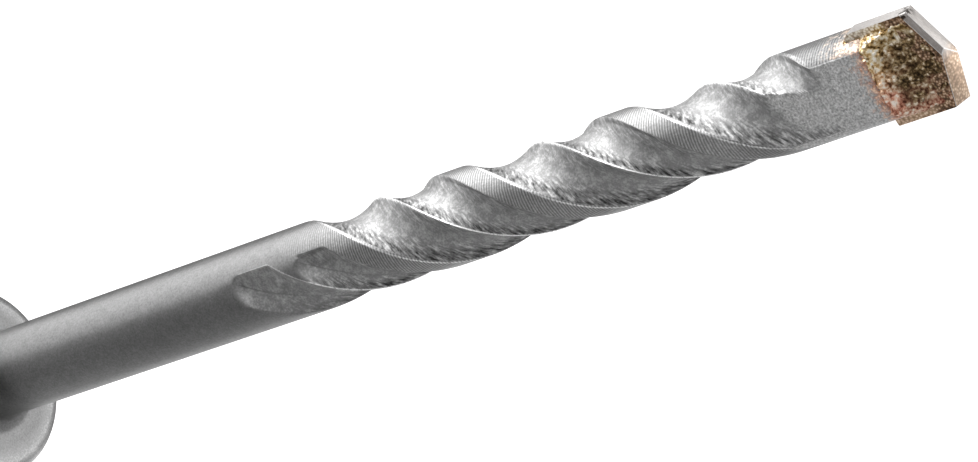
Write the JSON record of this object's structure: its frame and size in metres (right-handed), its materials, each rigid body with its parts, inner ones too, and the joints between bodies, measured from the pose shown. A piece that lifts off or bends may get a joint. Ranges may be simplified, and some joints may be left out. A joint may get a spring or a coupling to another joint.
{
  "type": "masonry drill bit",
  "caption": "Masonry drill bit for a hammer drill: slotted round shank, slim shaft with right-handed flutes and a brazed carbide plate.",
  "frame": {"origin": "centre of the shank's end face, on which the bit stands", "axes": "+Z along the bit's axis from the shank's end to the point, +X along the width of the carbide plate and through one drive slot"},
  "size_m": [0.01, 0.01, 0.11],
  "materials": {
    "blasted_steel": "satin grey steel, rolled and blasted",
    "sintered_carbide": "dark sintered carbide with ground edges",
    "copper_braze": "rough granular copper and brass braze"
  },
  "bodies": {
    "root": {"drill_body": "blasted_steel", "carbide_tip": "sintered_carbide", "braze_filler": "copper_braze"}
  },
  "joints": []
}
